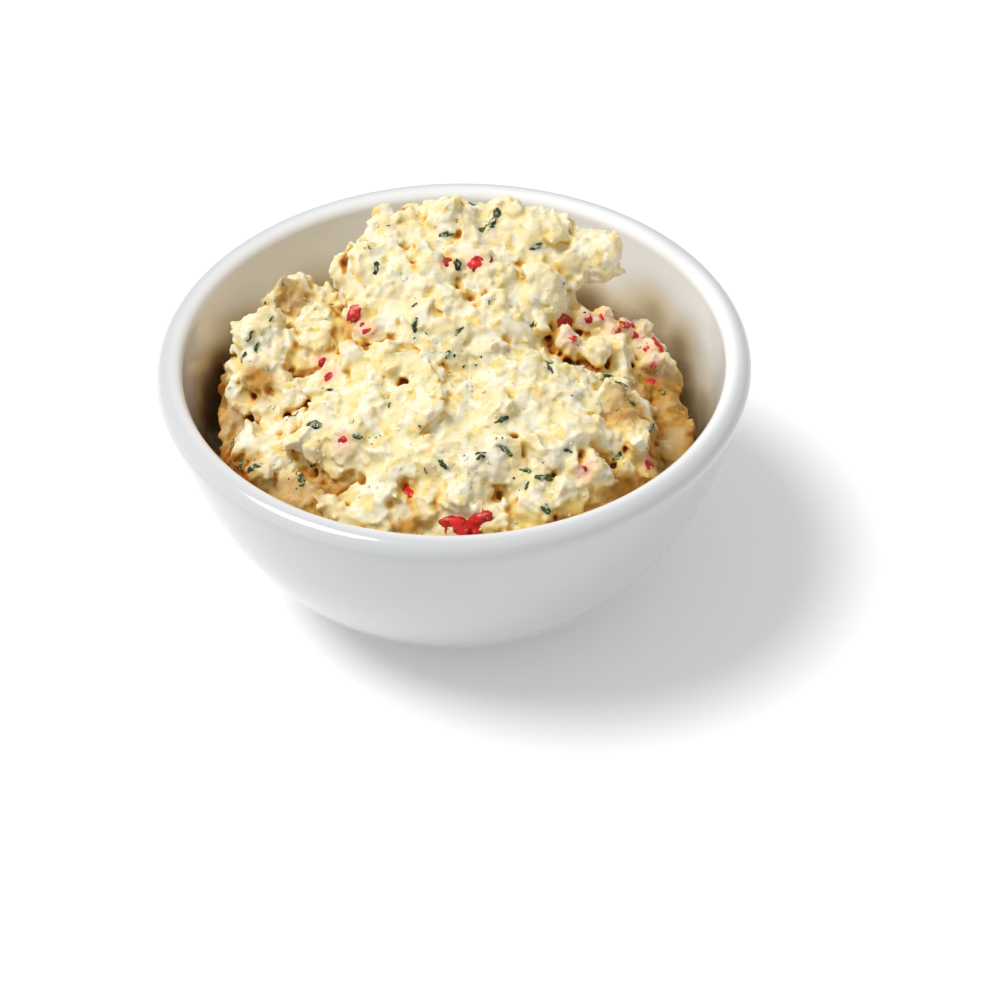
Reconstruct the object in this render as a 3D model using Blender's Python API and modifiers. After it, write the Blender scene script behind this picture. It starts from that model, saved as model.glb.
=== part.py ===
"""Garlic feta spread heaped in its round white stoneware bowl.

The bowl is turned from a profile. The spread is one solid: a core that follows the bowl's
inside, the main chunks of the heap, small curds all over, and the pepper and herb pieces
that lie on it, all joined. The frame has its origin under the middle of the bowl, on the
surface it stands on, with +Z up and the front of the heap towards -Y.
"""

import math
import random

import bmesh
import bpy
from mathutils import Euler, Matrix, Vector, noise
from mathutils.bvhtree import BVHTree

MM = 0.001

# Bowl
BOWL_RADIUS = 60.0 * MM
BOWL_HEIGHT = 55.0 * MM
LIP_RADIUS = 2.7 * MM
FOOT_RADIUS = 28.5 * MM
FOOT_WIDTH = 3.2 * MM
FOOT_HEIGHT = 1.8 * MM
FLOOR_THICKNESS = 5.9 * MM
BOWL_STEPS = 52

# Spread: WALL_GAP is left free between it and the bowl, and FILL_DEPTH is how far its level base is under the rim
WALL_GAP = 0.7 * MM
FILL_DEPTH = 24.0 * MM
CURD_COUNT = 230
CURD_SEED = 11
CURD_REACH = 50.0 * MM
REMESH_SIZE = 1.0 * MM
SPREAD_TRIANGLES = 7600
MEND_ROUNDS = 4
FLAKE_COUNT = 24
FLAKE_SEED = 5
FLAKE_REACH = 46.0 * MM
FLAKE_THICKNESS = 0.6 * MM
FLAKE_SINK = 0.1 * MM

RIM = BOWL_HEIGHT


def bezier(start, pull_a, pull_b, end, steps):
    """Points along a cubic curve, without its first one."""
    points = []
    for i in range(1, steps + 1):
        t = i / steps
        s = 1 - t
        weights = (s ** 3, 3 * s * s * t, 3 * s * t * t, t ** 3)
        corners = (start, pull_a, pull_b, end)
        points.append(tuple(sum(w * c[axis] for w, c in zip(weights, corners)) for axis in (0, 1)))
    return points


def inner_wall(gap, steps):
    """The bowl's inside from the middle of its floor to the lip, moved in by a gap."""
    top = (BOWL_RADIUS - 2 * LIP_RADIUS - gap, BOWL_HEIGHT - LIP_RADIUS)
    floor = FOOT_HEIGHT + FLOOR_THICKNESS - 0.2 * MM + gap
    upward = bezier((0.0, floor), (42.0 * MM - gap, floor), (50.6 * MM - gap, 30.0 * MM), top, steps)
    return [(0.0, floor)] + upward


def bowl_profile():
    """The bowl's section, up its inside, over the lip and down the outside to the foot."""
    points = inner_wall(0.0, 9)
    lip_centre = (BOWL_RADIUS - LIP_RADIUS, BOWL_HEIGHT - LIP_RADIUS)
    for i in range(1, 7):
        angle = math.pi * (1 - i / 6)
        points.append((lip_centre[0] + LIP_RADIUS * math.cos(angle), lip_centre[1] + LIP_RADIUS * math.sin(angle)))
    foot_top = (FOOT_RADIUS, FOOT_HEIGHT)
    points += bezier(points[-1], (55.0 * MM, 30.5 * MM), (50.6 * MM, 11.4 * MM), foot_top, 8)
    points.append((FOOT_RADIUS - 0.4 * MM, 0.0))
    points.append((FOOT_RADIUS - FOOT_WIDTH, 0.0))
    points.append((FOOT_RADIUS - FOOT_WIDTH - 0.5 * MM, FOOT_HEIGHT - 0.2 * MM))
    points.append((0.0, FOOT_HEIGHT - 0.2 * MM))
    return points


def turned(name, profile, steps, collection):
    """A solid turned round the Z axis from a profile of (radius, height) points."""
    mesh = bpy.data.meshes.new(name)
    edges = [(i, i + 1) for i in range(len(profile) - 1)]
    mesh.from_pydata([(r, 0.0, z) for r, z in profile], edges, [])
    obj = bpy.data.objects.new(name, mesh)
    collection.objects.link(obj)
    screw = obj.modifiers.new("turn", "SCREW")
    screw.axis = "Z"
    screw.angle = 2 * math.pi
    screw.steps = steps
    screw.render_steps = steps
    screw.use_merge_vertices = True
    screw.merge_threshold = 0.00001
    screw.use_smooth_shade = True
    return obj


def apply_modifiers(obj):
    """The object's mesh becomes what its modifiers make of it."""
    graph = bpy.context.evaluated_depsgraph_get()
    mesh = bpy.data.meshes.new_from_object(obj.evaluated_get(graph))
    old = obj.data
    obj.modifiers.clear()
    obj.data = mesh
    bpy.data.meshes.remove(old)


def material(name, colour, roughness):
    made = bpy.data.materials.new(name)
    made.use_nodes = True
    shader = made.node_tree.nodes["Principled BSDF"]
    shader.inputs["Base Color"].default_value = (*colour, 1.0)
    shader.inputs["Roughness"].default_value = roughness
    shader.inputs["Metallic"].default_value = 0.0
    return made


# The main chunks: middle (x, y, height over the rim) and half sizes in mm, turn about Z in degrees
SCOOP = (
    ("scoop middle", (1, 9, 2), (19, 17, 15), 0),
    ("scoop left side", (-12.5, 9, 5), (8.5, 11, 11), 10),
    ("scoop left top", (-9.5, 16, 11), (9, 8, 7), 0),
    ("scoop top ridge", (1, 18, 14), (6, 6.5, 7), 0),
    ("scoop right top", (15, 16, 12), (10, 7.5, 8), -10),
    ("scoop top corner", (21, 17, 15.5), (3.5, 4, 4), 0),
    ("scoop right side", (16.5, 6, 4), (7.5, 9, 11), 0),
    ("scoop nub root", (24, 13, 11.5), (5, 5, 4), 0),
    ("scoop nub", (28.5, 13, 12.5), (4.5, 4, 3.8), 20),
    ("scoop front", (1, -3, 5.5), (17, 9, 8.5), 0),
    ("scoop right foot", (25.5, 6, -2.5), (3.5, 3.5, 3.5), 0),
    ("scoop back", (0, 22, -4), (20, 14, 16), 0),
)
MOUND = (
    ("mound middle", (4, -18, -10.5), (28, 27, 17.5), 0),
    ("mound left", (-15, -18, -8.5), (14, 19, 13.5), 0),
    ("mound right", (26, -21, -6.5), (12.5, 16, 9), 0),
    ("mound front right", (23, -33, -9), (13, 10.5, 8), 10),
    ("mound crown", (-1, -24, 1.5), (13, 9, 5.5), 15),
    ("mound front knob", (4, -41, -7), (11, 6.5, 6), -5),
    ("mound front ledge", (17, -42, -9), (8, 5, 4.5), 10),
    ("mound left brow", (-24, -23, -2.5), (5.5, 8, 5.5), -20),
    ("shoulder left", (-23, 5, -6.5), (13, 12, 8.5), 0),
    ("shoulder right", (23, -3, -8), (11, 11, 9.5), 0),
)
SIDES = (
    ("left chunk", (-37.5, 1, -4.5), (6, 8, 6.5), 10),
    ("left chunk corner", (-40.5, -4, -4), (3, 4, 3.5), 0),
    ("left back chunk", (-29.5, 17, -5.5), (7, 6.5, 5.5), 20),
    ("left back nub", (-35, 19, -5), (3.5, 2.3, 2), -10),
    ("left front nub", (-44.5, -10, -9.5), (4, 3.5, 2.8), 0),
    ("front left wedge", (-33, -23, -9), (9.5, 7.5, 5.5), 25),
    ("front left bit", (-29, -34, -11), (6.5, 4.5, 4), -30),
    ("front bit", (-15, -41.5, -10), (6.5, 5, 4.5), -10),
    ("front left floor", (-31, -20, -17), (17, 18, 9), 0),
    ("front floor", (-2, -33, -17), (28, 14, 9.5), 0),
    ("right lobe", (32, -2, -10.5), (12, 9.5, 8.5), -25),
    ("right lobe ridge", (39.5, -1, -8), (4.5, 9.5, 5), 12),
    ("right lobe edge", (42.5, -12, -10), (3.5, 6, 4.5), 10),
    ("right deep chunk", (41.5, -16, -14), (6.5, 10, 6.5), 15),
    ("back left floor", (-18, 26, -20), (15, 12, 8), 0),
    ("back floor", (0, 36, -19), (17, 11, 9), 0),
    ("back right floor", (25, 18, -23), (13, 12, 8), 0),
    ("left floor", (-32, 6, -17), (15, 18, 9), 0),
    ("heart", (1, 8, -14), (19, 15, 10), 0),
)

# The torn front edge: a row of small chunks along the wall, from left to right
FRONT_ROW = 9
FRONT_ROW_RADIUS = 46.5
FRONT_ROW_FROM = math.radians(-142)
FRONT_ROW_TO = math.radians(-58)

# Pepper pieces that show: (x, y), length, width and thickness in mm, turn about Z in degrees
PEPPERS = (
    ((-20, -3), (4.6, 3.2, 2.2), 60),
    ((-17.5, -6), (2.4, 1.6, 1.4), 40),
    ((-24, -13), (4.4, 2.2, 1.6), 10),
    ((-21, -32), (2.6, 1.8, 1.4), 0),
    ((-1, 2.5), (2.8, 2.0, 1.6), 80),
    ((5, 3.5), (5.0, 2.6, 2.0), 15),
    ((22, -1), (7.0, 3.6, 2.4), 20),
    ((35, 8), (3.0, 2.0, 1.5), -20),
    ((38, 4), (2.6, 1.6, 1.4), -30),
    ((43, 3), (4.2, 2.2, 1.8), 100),
    ((40, -10), (3.0, 2.0, 1.6), 30),
    ((37, -28), (2.4, 1.6, 1.2), 0),
    ((2, -45), (9.5, 4.0, 3.0), 8),
    ((-8, -42), (4.0, 2.4, 2.0), 70),
    ((-8, 30), (6.0, 3.4, 2.2), -35),
    ((16, 27), (3.6, 2.4, 1.8), 50),
    ((-27, 24), (3.2, 2.0, 1.6), 10),
)

# The herb flakes that show most: (x, y) and length in mm, turn about Z in degrees
HERBS = (
    ((8.5, 16), 4.6, 55),
    ((6.5, 13), 3.6, 20),
    ((-1, 13), 3.6, -5),
    ((1, 3.5), 3.8, -40),
    ((17, 9), 2.8, 30),
    ((-15, 3.5), 2.6, 70),
    ((-6, 21), 2.6, 0),
    ((-7, -8), 3.2, 80),
    ((-27, -27), 4.2, -15),
    ((-42, -7), 2.6, 60),
    ((-29.5, -33), 4.0, 85),
    ((-37, -29), 3.4, 10),
    ((10, -39), 4.0, -30),
    ((5.5, -39), 2.6, 40),
    ((14, -40), 3.0, 0),
    ((17, -41), 3.2, -10),
    ((30, -14), 4.4, 25),
    ((33, -13), 3.6, -5),
    ((37.5, -31), 3.0, 80),
    ((18, -45), 2.8, 0),
)


def crumbled(mesh, size, depth, seed, octaves=4):
    """Pushes a mesh's points in and out along their normals by fractal noise."""
    offset = Vector((3.1, 1.7, 2.3)) * seed
    mesh.normal_update()
    pushes = [noise.fractal(v.co / size + offset, 0.9, 2.1, octaves) * depth for v in mesh.verts]
    for v, push in zip(mesh.verts, pushes):
        v.co += v.normal * push


def added(name, mesh, place, collection):
    """A new object of a bmesh, moved to its place."""
    mesh.transform(place)
    data = bpy.data.meshes.new(name)
    mesh.to_mesh(data)
    mesh.free()
    obj = bpy.data.objects.new(name, data)
    collection.objects.link(obj)
    return obj


def chunk(name, place, seed, collection, detail=3, crumble=0.16):
    """A lump: a sphere of few faces, squared a little and crumbled, scaled by its place."""
    mesh = bmesh.new()
    bmesh.ops.create_icosphere(mesh, subdivisions=detail, radius=1.0)
    for v in mesh.verts:
        reach = max(abs(c) for c in v.co)
        v.co *= 1 + 0.24 * (1 - reach)
    crumbled(mesh, 0.75, crumble, seed)
    return added(name, mesh, place, collection)


def upright(middle, half, turn):
    """The place of a lump of the heap: its middle over the rim, half sizes and turn about Z."""
    where = Vector((middle[0], middle[1], middle[2] + RIM / MM)) * MM
    return Matrix.LocRotScale(where, Euler((0, 0, math.radians(turn))), Vector(half) * MM)


def joined(obj, collection):
    """Joins the whole collection to the object in one Boolean, and removes the collection's objects."""
    boolean = obj.modifiers.new("join", "BOOLEAN")
    boolean.operand_type = "COLLECTION"
    boolean.collection = collection
    boolean.operation = "UNION"
    boolean.solver = "MANIFOLD"
    apply_modifiers(obj)
    for piece in list(collection.objects):
        bpy.data.objects.remove(piece)


def mended(mesh):
    """Cuts out the few spots where the surface touches itself, and closes the holes."""
    for _ in range(MEND_ROUNDS):
        spots = [edge for edge in mesh.edges if not edge.is_manifold]
        if not spots:
            break
        corners = {v for edge in spots for v in edge.verts}
        bmesh.ops.delete(mesh, geom=list(corners), context="VERTS")
        rims = [edge for edge in mesh.edges if edge.is_boundary]
        bmesh.ops.holes_fill(mesh, edges=rims)
        bmesh.ops.triangulate(mesh, faces=mesh.faces)


def main_body_only(obj):
    """Keeps the largest closed surface, so that loose scraps and sealed hollows go."""
    mesh = bmesh.new()
    mesh.from_mesh(obj.data)
    bmesh.ops.remove_doubles(mesh, verts=mesh.verts, dist=0.00001)
    mended(mesh)
    left = set(mesh.verts)
    islands = []
    while left:
        stack = [left.pop()]
        island = list(stack)
        while stack:
            for edge in stack.pop().link_edges:
                for v in edge.verts:
                    if v in left:
                        left.discard(v)
                        stack.append(v)
                        island.append(v)
        islands.append(island)
    islands.sort(key=len)
    for island in islands[:-1]:
        bmesh.ops.delete(mesh, geom=island, context="VERTS")
    bmesh.ops.triangulate(mesh, faces=mesh.faces)
    mesh.to_mesh(obj.data)
    mesh.free()


def surface_of(obj):
    mesh = bmesh.new()
    mesh.from_mesh(obj.data)
    tree = BVHTree.FromBMesh(mesh)
    mesh.free()
    return tree


def front_row(collection):
    """Uneven chunks side by side along the front of the bowl."""
    draw = random.Random(CURD_SEED)
    for i in range(FRONT_ROW):
        angle = FRONT_ROW_FROM + (FRONT_ROW_TO - FRONT_ROW_FROM) * i / (FRONT_ROW - 1)
        radius = FRONT_ROW_RADIUS + draw.uniform(-1.5, 1.5)
        middle = (radius * math.cos(angle), radius * math.sin(angle), draw.uniform(-10.5, -8.5))
        half = (draw.uniform(3.2, 4.8), draw.uniform(3.2, 4.6), draw.uniform(3.6, 5.0))
        chunk("front chunk", upright(middle, half, draw.uniform(0, 90)), 60 + i, collection)


def laid(tree, x, y, turn, sink):
    """The place of a piece that lies on the heap at (x, y), on the mean slope there."""
    down = Vector((0, 0, -1))
    hit = tree.ray_cast(Vector((x, y, 3 * RIM)), down)[0]
    if hit is None:
        return None
    slope = Vector((0, 0, 0))
    for around in range(6):
        step = Matrix.Rotation(math.radians(60 * around), 3, "Z") @ Vector((1.5 * MM, 0, 0))
        normal = tree.ray_cast(Vector((x, y, 3 * RIM)) + step, down)[1]
        slope += normal or Vector((0, 0, 1))
    slope.normalize()
    tilt = Vector((0, 0, 1)).rotation_difference(slope).to_matrix().to_4x4()
    flat = Matrix.Rotation(math.radians(turn), 4, "Z")
    return Matrix.Translation(hit - slope * sink) @ tilt @ flat


def scatter_curds(tree, collection):
    """Small curds of uneven size over all of the heap's upper side."""
    draw = random.Random(CURD_SEED)
    made = 0
    while made < CURD_COUNT:
        radius = CURD_REACH * math.sqrt(draw.random())
        angle = draw.uniform(0, 2 * math.pi)
        size = draw.uniform(1.2, 2.8) * MM
        half = Vector([size * draw.uniform(0.75, 1.3) for _ in range(3)])
        sink = size * draw.uniform(-0.25, 0.4)
        place = laid(tree, radius * math.cos(angle), radius * math.sin(angle), draw.uniform(0, 180), sink)
        if place:
            chunk("curd", place @ Matrix.Diagonal(half.to_4d()), made, collection, 2, 0.15)
            made += 1


def flake(length, seed, place, collection):
    """A thin wavy scrap of leaf, both faces split alike."""
    if place is None:
        return
    mesh = bmesh.new()
    bmesh.ops.create_grid(mesh, x_segments=3, y_segments=1, size=0.5)
    width = length * 0.42
    for v in mesh.verts:
        along = v.co.x
        v.co.x = along * length
        v.co.y *= width * (1 - 1.6 * along * along)
        v.co.z = 0.12 * length * math.sin(5 * along + seed) * (1 + v.co.y / width)
    bmesh.ops.triangulate(mesh, faces=mesh.faces)
    bmesh.ops.solidify(mesh, geom=mesh.faces, thickness=FLAKE_THICKNESS)
    bmesh.ops.recalc_face_normals(mesh, faces=mesh.faces)
    added("flake", mesh, place, collection)


def lay_toppings(tree, collection):
    """The pepper pieces and the herb flakes, half sunk in the heap."""
    for seed, ((x, y), size, turn) in enumerate(PEPPERS):
        half = Vector(size) * MM / 2
        place = laid(tree, x * MM, y * MM, turn, half.z * 0.3)
        chunk("pepper", place @ Matrix.Diagonal(half.to_4d()), seed, collection, 2, 0.15)
    for seed, ((x, y), length, turn) in enumerate(HERBS):
        flake(length * MM, seed, laid(tree, x * MM, y * MM, turn, FLAKE_SINK), collection)
    draw = random.Random(FLAKE_SEED)
    for seed in range(FLAKE_COUNT):
        radius = FLAKE_REACH * math.sqrt(draw.random())
        angle = draw.uniform(0, 2 * math.pi)
        place = laid(tree, radius * math.cos(angle), radius * math.sin(angle), draw.uniform(0, 180), FLAKE_SINK)
        flake(draw.uniform(2.0, 3.4) * MM, seed, place, collection)


def add_relief(core):
    """Crumbly relief of curd size all over the heap."""
    mesh = bmesh.new()
    mesh.from_mesh(core.data)
    crumbled(mesh, 5.5 * MM, 1.0 * MM, 3, 3)
    mesh.to_mesh(core.data)
    mesh.free()


def fill_section():
    """The core's section: from its level top down the bowl's inside to the middle of the floor."""
    level = RIM - FILL_DEPTH
    wall = [point for point in inner_wall(0.0, 16) if point[1] < level - 1 * MM]
    return [(0.0, level + 3 * MM), (wall[-1][0], level)] + wall[::-1]


def bowl_inside(cutters):
    """The space inside the bowl, less the gap, carried up over the rim."""
    wall = inner_wall(WALL_GAP, 12)
    mouth = wall[-1][0] - 1 * MM
    section = [(0.0, RIM + 40 * MM), (mouth, RIM + 40 * MM), (mouth, RIM)] + wall[::-1]
    cutter = turned("bowl inside", section, BOWL_STEPS, cutters)
    cutter.hide_render = True
    cutter.display_type = "WIRE"
    return cutter


def make_spread(parts, cutters):
    core = turned("feta_spread", fill_section(), BOWL_STEPS, parts)
    apply_modifiers(core)
    pieces = bpy.data.collections.new("pieces of the heap")
    bpy.context.scene.collection.children.link(pieces)
    for seed, (name, middle, half, turn) in enumerate(SCOOP + MOUND + SIDES):
        chunk(name, upright(middle, half, turn), seed, pieces)
    front_row(pieces)
    joined(core, pieces)
    scatter_curds(surface_of(core), pieces)
    joined(core, pieces)
    remesh = core.modifiers.new("even", "REMESH")
    remesh.mode = "VOXEL"
    remesh.voxel_size = REMESH_SIZE
    apply_modifiers(core)
    add_relief(core)
    trim = core.modifiers.new("inside the bowl", "BOOLEAN")
    trim.object = bowl_inside(cutters)
    trim.operation = "INTERSECT"
    trim.solver = "MANIFOLD"
    apply_modifiers(core)
    main_body_only(core)
    fewer = core.modifiers.new("fewer", "DECIMATE")
    fewer.ratio = SPREAD_TRIANGLES / len(core.data.polygons)
    apply_modifiers(core)
    main_body_only(core)
    lay_toppings(surface_of(core), pieces)
    joined(core, pieces)
    main_body_only(core)
    bpy.data.collections.remove(pieces)
    return core


def main():
    for obj in list(bpy.data.objects):
        bpy.data.objects.remove(obj)
    parts = bpy.data.collections.new("garlic feta spread")
    cutters = bpy.data.collections.new("cutters")
    for collection in (parts, cutters):
        bpy.context.scene.collection.children.link(collection)
    bowl = turned("bowl", bowl_profile(), BOWL_STEPS, parts)
    bowl.data.materials.append(material("white glaze", (0.80, 0.81, 0.82), 0.12))
    spread = make_spread(parts, cutters)
    spread.data.materials.clear()
    spread.data.materials.append(material("feta spread", (0.90, 0.80, 0.52), 0.5))


main()
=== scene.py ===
"""Garlic feta spread heaped in its round white bowl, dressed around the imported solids.

The bowl is a smooth turned shell under a clear glaze. The spread keeps the form of its solid,
covered with curds and crumbs that are fused into one moist mass, with red pepper pieces,
herb flakes and loose crumbs pressed into the top.
"""

import math
import random

import bpy
import numpy as np
from mathutils import Matrix, Vector, noise
from mathutils.bvhtree import BVHTree


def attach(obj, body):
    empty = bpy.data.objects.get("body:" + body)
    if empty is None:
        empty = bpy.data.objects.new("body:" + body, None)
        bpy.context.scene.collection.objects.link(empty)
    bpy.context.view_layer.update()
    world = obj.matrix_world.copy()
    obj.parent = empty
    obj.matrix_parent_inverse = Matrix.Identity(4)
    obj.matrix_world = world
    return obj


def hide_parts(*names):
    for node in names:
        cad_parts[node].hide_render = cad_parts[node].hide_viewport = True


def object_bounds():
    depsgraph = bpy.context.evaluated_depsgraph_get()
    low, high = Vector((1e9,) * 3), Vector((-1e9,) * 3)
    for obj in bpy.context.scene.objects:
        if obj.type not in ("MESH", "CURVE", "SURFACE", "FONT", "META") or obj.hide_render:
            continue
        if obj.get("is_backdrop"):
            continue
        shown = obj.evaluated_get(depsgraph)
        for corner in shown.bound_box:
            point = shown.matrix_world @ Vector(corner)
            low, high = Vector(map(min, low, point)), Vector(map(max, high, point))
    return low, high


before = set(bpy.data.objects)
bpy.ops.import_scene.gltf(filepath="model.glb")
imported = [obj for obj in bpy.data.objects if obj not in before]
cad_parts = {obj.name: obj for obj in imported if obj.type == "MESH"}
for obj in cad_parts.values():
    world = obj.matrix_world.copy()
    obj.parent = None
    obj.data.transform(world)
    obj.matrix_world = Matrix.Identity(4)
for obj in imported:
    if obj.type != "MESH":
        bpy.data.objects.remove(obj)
CAD_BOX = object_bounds()

MM = 0.001

# Bowl, as its solid has it
BOWL_RADIUS = 60.0 * MM
BOWL_HEIGHT = 55.0 * MM
LIP_RADIUS = 2.7 * MM
FOOT_RADIUS = 28.5 * MM
FOOT_WIDTH = 3.2 * MM
FOOT_HEIGHT = 1.8 * MM
FLOOR_THICKNESS = 5.9 * MM
SEGMENTS = 224
WALL_AT_FLOOR = 0.55
WALL_FLARE = 0.36
# How far the painted shade and reflection of the cheese reach on the wall, how they fade below the lip, and
# the lip kept free of them
HEAP_SHADE_REACH = 14.0 * MM
HEAP_SHADE_FADE = 14.0 * MM
UNSHADED_LIP = 3.0 * MM

# Spread: how fine its mesh is, and how its sections meet
CORE_VOXEL = 0.8 * MM
SKIN_VOXEL = 0.36 * MM
SECTION_TRIANGLES = 190000
BASE_TRIANGLES = 9000
OVERLAP = 1.2 * MM
MOST_SUNK = 0.8 * MM
UNSEEN_BELOW = 29.0 * MM
SHADED_ABOVE = 34.0 * MM

# Cuts between the sections: under the heap, left from right, front from back, and below the scoop
WAIST_HEIGHT = 27.0 * MM
MIDDLE_X = 3.0 * MM
HALFWAY_Y = -14.0 * MM
SCOOP_FOOT = (0.0, -12.0 * MM, 64.0 * MM)
SCOOP_LEAN = 0.327

HEAP_SEED = 21
CRUMB_SHAPES = 6
# Fused pieces: how many, smallest and largest radius in mm, thickness in radii,
# least and most lift out of the core in thicknesses, and how unevenly they lie
CLODS = (560, 2.0, 4.2, 0.6, -0.8, 0.0, 0.4)
LUMPS = (2000, 0.9, 1.7, 0.8, -0.5, 0.2, 0.8)
CRUMBS = (5200, 0.45, 0.9, 0.9, -0.3, 0.4, 2.0)
GRAINS_A_SECTION = 450

# Relief: sizes of the curds and patches, and how far each kind stands out
FINE_CURD = 1.2 * MM
BROAD_CURD = 2.9 * MM
GRAINY_PATCH = 6.0 * MM
CRUMBLY_PATCH = 7.0 * MM
FINE_RISE = 0.26 * MM
FINE_LEVEL = 0.16 * MM
FINE_NOISE = 0.06 * MM
BROAD_LEVEL = 0.24 * MM
BROAD_NOISE = 0.08 * MM

# Values that the spread's meshes carry, for the painted shade and for the pepper's blush and the herb's
# smudge, and how far each reaches
SHADES = ("fine_shelter", "broad_shelter", "painted_shade", "blush", "smudge")
SHELTER_RAYS = 12
BROAD_REACH = 12.0 * MM
FINE_REACH = 2.5 * MM
WALL_SHADE_REACH = 6.0 * MM
BLUSH_REACH = 4.0 * MM
SMUDGE_REACH = 1.8 * MM

# Herb scraps scattered over the heap
FLAKE_COUNT = 20
FLAKE_SEED = 5
FLAKE_REACH = 46.0 * MM
SCRAPS_A_SECTION = 26
SPECKS_A_SECTION = 80

# Pepper pieces: spot, then length, width and thickness, in mm, and turn in degrees
PEPPERS = (
    ((-19.6, -3.1, 66.1), (3.0, 2.3, 1.6), 60),
    ((-17.9, -3.7, 63.8), (2.0, 1.4, 1.2), 40),
    ((-24.2, -11, 56.6), (4.4, 2.2, 1.6), 10),
    ((-21.1, -30.9, 56.6), (2.4, 1.6, 1.2), 0),
    ((-1.1, 4.4, 73), (2.8, 2.0, 1.6), 80),
    ((4.6, 4.4, 72.9), (5.0, 2.6, 2.0), 15),
    ((21.5, -2, 62.5), (7.5, 3.4, 2.4), 15),
    ((41.3, 3.5, 52.2), (3.4, 2.0, 1.8), 100),
    ((39.7, -9.8, 52.9), (3.0, 2.0, 1.6), 30),
    ((37.5, -30.5, 49.5), (2.4, 1.6, 1.2), 0),
    ((1.0, -48.5, 50), (5.6, 3.2, 2.2), -8),
    ((4.6, -48.2, 50.4), (5.6, 3.4, 2.2), 22),
    ((-8.4, -41.8, 53.5), (4.0, 2.4, 2.0), 70),
    ((-9, 34, 66), (6.0, 3.4, 2.2), -35),
    ((18, 33, 60), (3.6, 2.4, 1.8), 50),
    ((-27, 26, 60), (3.2, 2.0, 1.6), 10),
)

# Small bits of pepper on the surface: spot and length in mm
PEPPER_BITS = (
    ((-16.9, -5.5, 63.4), 1.9), ((-26.6, -5.5, 56.1), 1.8), ((-28, -9, 56), 1.2), ((34.6, 3.2, 58), 1.9),
    ((33, 1, 58), 1.4), ((37.1, 2.8, 55.2), 1.8), ((39, 0, 54), 1.5), ((36, 5, 56), 1.3),
    ((40.5, -3, 52), 1.4), ((27, 2, 60), 1.9), ((30, 3, 60), 1.3), ((24, -4, 60), 1.6),
    ((12, 24, 73), 1.8), ((-24, 24, 62), 1.6), ((25, -38, 55), 1.3),
)

# The herb flakes that show most: spot and length in mm, turn in degrees
HERBS = (
    ((8.5, 16, 75.2), 4.6, 55),
    ((6.5, 14.1, 73.7), 3.6, 20),
    ((-1.1, 12.5, 73.7), 3.4, -5),
    ((1.1, 4.1, 72.7), 3.6, -40),
    ((16.8, 9.8, 72.6), 2.8, 30),
    ((-15, 4.2, 72.1), 2.6, 70),
    ((-6.1, 22.3, 72.8), 2.6, 0),
    ((-7.2, -8.7, 67.4), 3.0, 80),
    ((-26.8, -27.8, 58.6), 3.8, -15),
    ((-42, -4.6, 56.9), 2.8, 60),
    ((-29.5, -33.1, 49.1), 4.0, 85),
    ((-38.8, -31.1, 50.5), 3.6, 10),
    ((9.8, -38, 60), 3.8, -30),
    ((5.6, -40.6, 60.5), 2.4, 40),
    ((13.9, -39.7, 56.1), 2.8, 0),
    ((17.1, -41, 55.6), 3.2, -10),
    ((29.7, -14.6, 58.2), 4.2, 25),
    ((33.2, -15.9, 57.7), 3.4, -5),
    ((37.9, -27.7, 55.7), 3.0, 80),
    ((17.6, -45.3, 51.1), 2.6, 0),
    ((31.8, -31.5, 52.4), 2.6, 30),
    ((9.5, -31.6, 62), 3.2, 20),
    ((-31.6, -17.6, 52.2), 2.6, 40),
    ((-18.2, -32.2, 59), 2.2, 0),
    ((-44, -18, 46), 3.4, 70),
    ((-42, -25, 46), 3.0, 20),
    ((-40.5, -1, 59.5), 2.6, 50),
    ((-39.3, -2.5, 57.5), 2.8, 80),
)

# Deep cracks between the masses: two ends, radius and depth in mm
CRACKS = (
    ((-44, -6, 48), (-39, -9, 50), 2.4, 5.5),
    ((-25, -35, 51), (-20, -37, 51), 2.2, 4.0),
    ((-10, -43, 51), (-8, -41, 53), 2.1, 5.0),
    ((5, -45, 54), (9, -44, 55), 1.8, 3.6),
    ((2.6, 1.5, 71), (4.6, -1.5, 69.5), 2.0, 4.2),
    ((-15, -8, 62.5), (-13, -8, 62.5), 1.5, 2.6),
    ((22, -13, 60.5), (26, -13.5, 60), 1.5, 3.0),
    ((35, -12, 54), (39, -10, 53.5), 2.0, 4.0),
    ((38, -26, 53), (38.5, -32, 52.5), 2.0, 4.5),
    ((30, -34, 54), (32.5, -33, 54.5), 1.6, 3.5),
    ((-34, -22.5, 53), (-31, -23, 53), 1.8, 3.5),
)

# Single clods that shape the crest on the right, the left chunk and the hollows: place and radius in mm
NAMED_CLODS = (
    ((26, 3, 58.3), 3.4), ((30, 4, 56.7), 3.3), ((34, 4.5, 54.8), 3.2), ((31, 1, 56.5), 2.6),
    ((38.5, 3, 51), 3.2), ((-41, 3, 57), 4.2), ((-38, 4, 58), 3.6), ((-34, -9, 50), 4.6),
    ((-36.5, -12.5, 49), 4.0), ((-31, -11, 52), 3.4), ((-12.5, -12.5, 60.5), 4.0), ((-8, -14, 61), 4.2),
    ((-4, -12.5, 62), 3.6), ((1, -12, 62.3), 3.4), ((7, -13, 62), 3.6), ((22, -5, 59), 3.2),
    ((32, -4, 55.5), 3.4), ((28, -6, 57), 3.2), ((22.5, -33, 56), 5.4), ((17, -35.5, 57), 4.6),
    ((26, -37, 53.5), 4.0), ((16, -43, 52), 4.0), ((21, -42, 51.5), 3.8), ((21.5, -37, 55.5), 4.2),
    ((15, -45.5, 49.5), 4.0), ((27, -31, 55.5), 4.2), ((-12.5, -15, 60.3), 3.6),
)
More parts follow.
